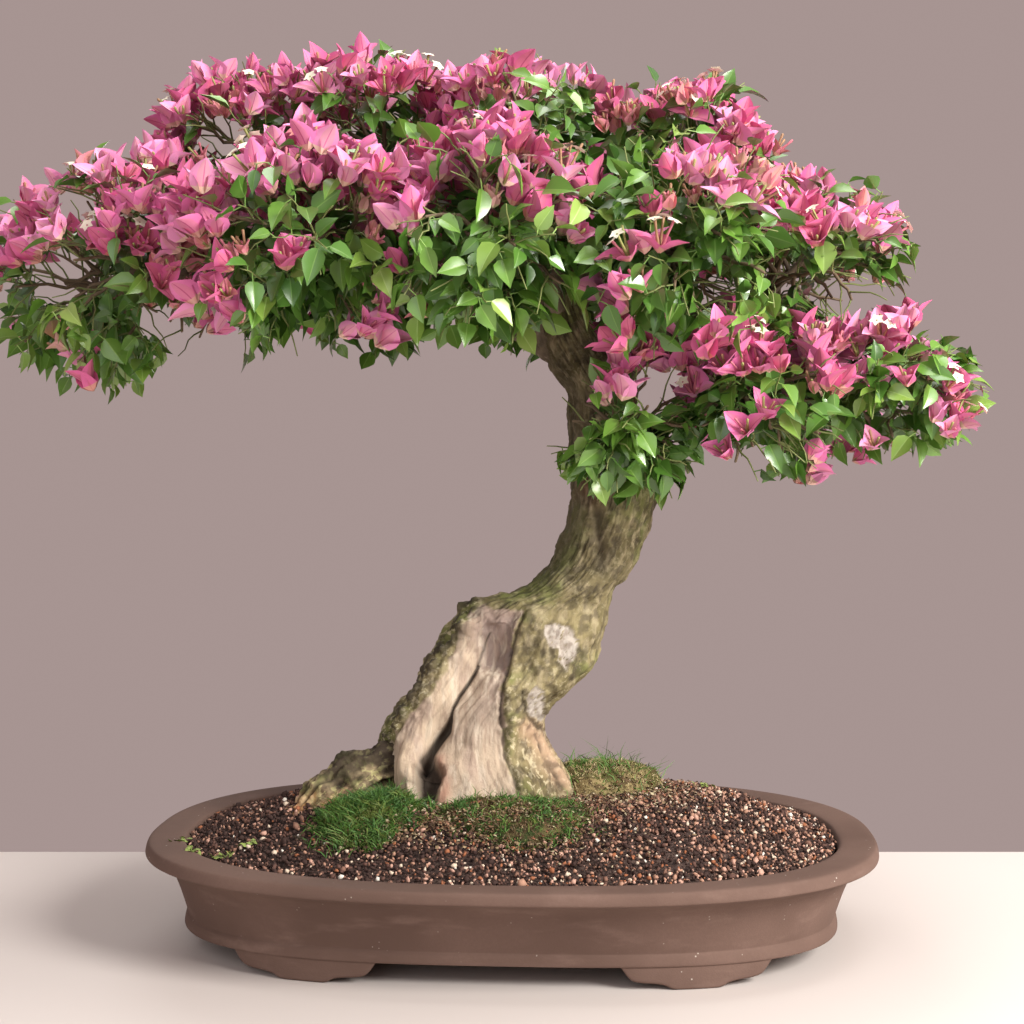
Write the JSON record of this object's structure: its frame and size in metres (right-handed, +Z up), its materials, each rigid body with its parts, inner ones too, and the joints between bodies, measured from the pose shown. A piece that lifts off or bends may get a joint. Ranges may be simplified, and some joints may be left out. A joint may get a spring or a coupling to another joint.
{
  "type": "bougainvillea bonsai",
  "caption": "Bougainvillea grown as a leaning bonsai with a spreading flowering canopy, planted in a long low oval clay pot with feet.",
  "frame": {"origin": "on the ground plane under the middle of the whole plant's box; the pot's feet stand on that plane, with the pot's own middle 34 mm to the right of the origin and 15 mm in front of it", "axes": "+X runs along the pot's long side, to the right as seen from the front; +Y points away from the front; +Z is up"},
  "size_m": [0.7257, 0.4701, 0.6512],
  "materials": {
    "clay": "matte",
    "grit": "matte",
    "moss": "matte",
    "bark": "matte",
    "bough_bark": "matte",
    "dead_wood": "matte",
    "foliage": "satin",
    "bract": "satin",
    "star_flower": "satin"
  },
  "bodies": {
    "root": {"bough_centre_back": "bough_bark", "bough_centre_front": "bough_bark", "bough_centre_top": "bough_bark", "bough_left_back": "bough_bark", "bough_left_front": "bough_bark", "bough_left_tip": "bough_bark", "bough_left_top": "bough_bark", "bough_low_back": "bough_bark", "bough_low_front": "bough_bark", "bough_low_middle": "bough_bark", "bough_low_right": "bough_bark", "bough_midleft_back": "bough_bark", "bough_midleft_front": "bough_bark", "bough_midleft_top": "bough_bark", "bough_outer_back": "bough_bark", "bough_outer_upper": "bough_bark", "bough_right_back": "bough_bark", "bough_right_front": "bough_bark", "bough_right_top": "bough_bark", "foliage_centre_back": "foliage", "foliage_centre_front": "foliage", "foliage_centre_top": "foliage", "foliage_left_back": "foliage", "foliage_left_front": "foliage", "foliage_left_tip": "foliage", "foliage_left_top": "foliage", "foliage_low_back": "foliage", "foliage_low_front": "foliage", "foliage_low_middle": "foliage", "foliage_low_right": "foliage", "foliage_midleft_back": "foliage", "foliage_midleft_front": "foliage", "foliage_midleft_top": "foliage", "foliage_outer_back": "foliage", "foliage_outer_upper": "foliage", "foliage_right_back": "foliage", "foliage_right_front": "foliage", "foliage_right_top": "foliage", "grit": "grit", "moss_front": "moss", "moss_left": "moss", "moss_mound": "moss", "pot": "clay", "surface_root": "dead_wood", "trunk": "bark"}
  },
  "joints": []
}
